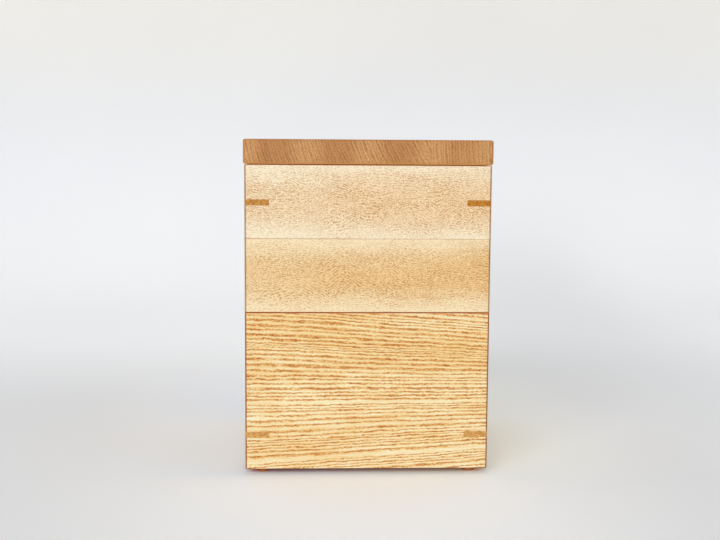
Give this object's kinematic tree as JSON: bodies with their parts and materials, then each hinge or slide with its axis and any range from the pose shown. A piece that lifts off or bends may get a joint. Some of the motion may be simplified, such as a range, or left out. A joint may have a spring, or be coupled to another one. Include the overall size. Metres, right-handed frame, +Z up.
{
  "type": "wooden puzzle box",
  "caption": "Tall square wooden puzzle box: a maple tier slides off an ash base, its lid slides off the tier, and hidden turn-bolts worked from underneath lock both slides.",
  "frame": {"origin": "on the table below the middle of the box", "axes": "+X to the right seen from the front, +Y to the back, +Z up"},
  "size_m": [0.105, 0.105, 0.143],
  "materials": {
    "ash": "planed and oiled, coarse straight grain",
    "maple": "planed and oiled, fine flecked grain",
    "lid_wood": "end grain, sanded and oiled",
    "red_key_wood": "oiled",
    "tan_key_wood": "oiled",
    "foot_wood": "oiled",
    "panel_wood": "sanded plywood",
    "runner_wood": "waxed",
    "dowel_wood": "sanded",
    "knob_wood": "oiled"
  },
  "bodies": {
    "base": {"base_front_wall": "ash", "base_right_wall": "ash", "base_back_wall": "ash", "base_left_wall": "ash", "base_front_left_key": "tan_key_wood", "base_front_right_key": "tan_key_wood", "base_back_right_key": "tan_key_wood", "base_back_left_key": "tan_key_wood", "base_bottom_panel": "panel_wood", "front_left_foot": "foot_wood", "front_right_foot": "foot_wood", "back_right_foot": "foot_wood", "back_left_foot": "foot_wood", "base_front_rail": "runner_wood", "base_back_rail": "runner_wood", "base_bolt_block": "runner_wood"},
    "tier": {"tier_front_upper_board": "maple", "tier_front_lower_board": "maple", "tier_right_upper_board": "maple", "tier_right_lower_board": "maple", "tier_back_upper_board": "maple", "tier_back_lower_board": "maple", "tier_left_upper_board": "maple", "tier_left_lower_board": "maple", "tier_front_left_key": "red_key_wood", "tier_front_right_key": "red_key_wood", "tier_back_right_key": "red_key_wood", "tier_back_left_key": "red_key_wood", "tier_floor_panel": "panel_wood", "tier_front_catch_cleat": "runner_wood", "tier_front_guide_cleat": "runner_wood", "tier_back_catch_cleat": "runner_wood", "tier_back_guide_cleat": "runner_wood", "tier_left_rail": "runner_wood", "tier_right_rail": "runner_wood", "lid_bolt_block": "runner_wood"},
    "lid": {"lid_strip_1": "lid_wood", "lid_strip_2": "lid_wood", "lid_strip_3": "lid_wood", "lid_strip_4": "lid_wood", "lid_left_catch_cleat": "runner_wood", "lid_left_guide_cleat": "runner_wood", "lid_right_catch_cleat": "runner_wood", "lid_right_guide_cleat": "runner_wood"},
    "base_bolt": {"base_bolt_rod": "dowel_wood", "base_bolt_knob": "knob_wood", "base_bolt_arm": "knob_wood"},
    "lid_bolt": {"lid_bolt_rod": "dowel_wood", "lid_bolt_knob": "knob_wood", "lid_bolt_arm": "knob_wood"}
  },
  "joints": [
    {"name": "tier_slide", "type": "slide", "parent": "base", "child": "tier", "axis": [1, 0, 0], "range_m": [0, 0.045]},
    {"name": "lid_slide", "type": "slide", "parent": "tier", "child": "lid", "axis": [0, 1, 0], "range_m": [0, 0.045]},
    {"name": "base_bolt_turn", "type": "hinge", "parent": "base", "child": "base_bolt", "pos_m": [-0.0261, 0.0295, 0.03], "axis": [0, 0, 1], "range_deg": [0, 90]},
    {"name": "lid_bolt_turn", "type": "hinge", "parent": "tier", "child": "lid_bolt", "pos_m": [0.0295, -0.0261, 0.1], "axis": [0, 0, -1], "range_deg": [0, 90]}
  ]
}
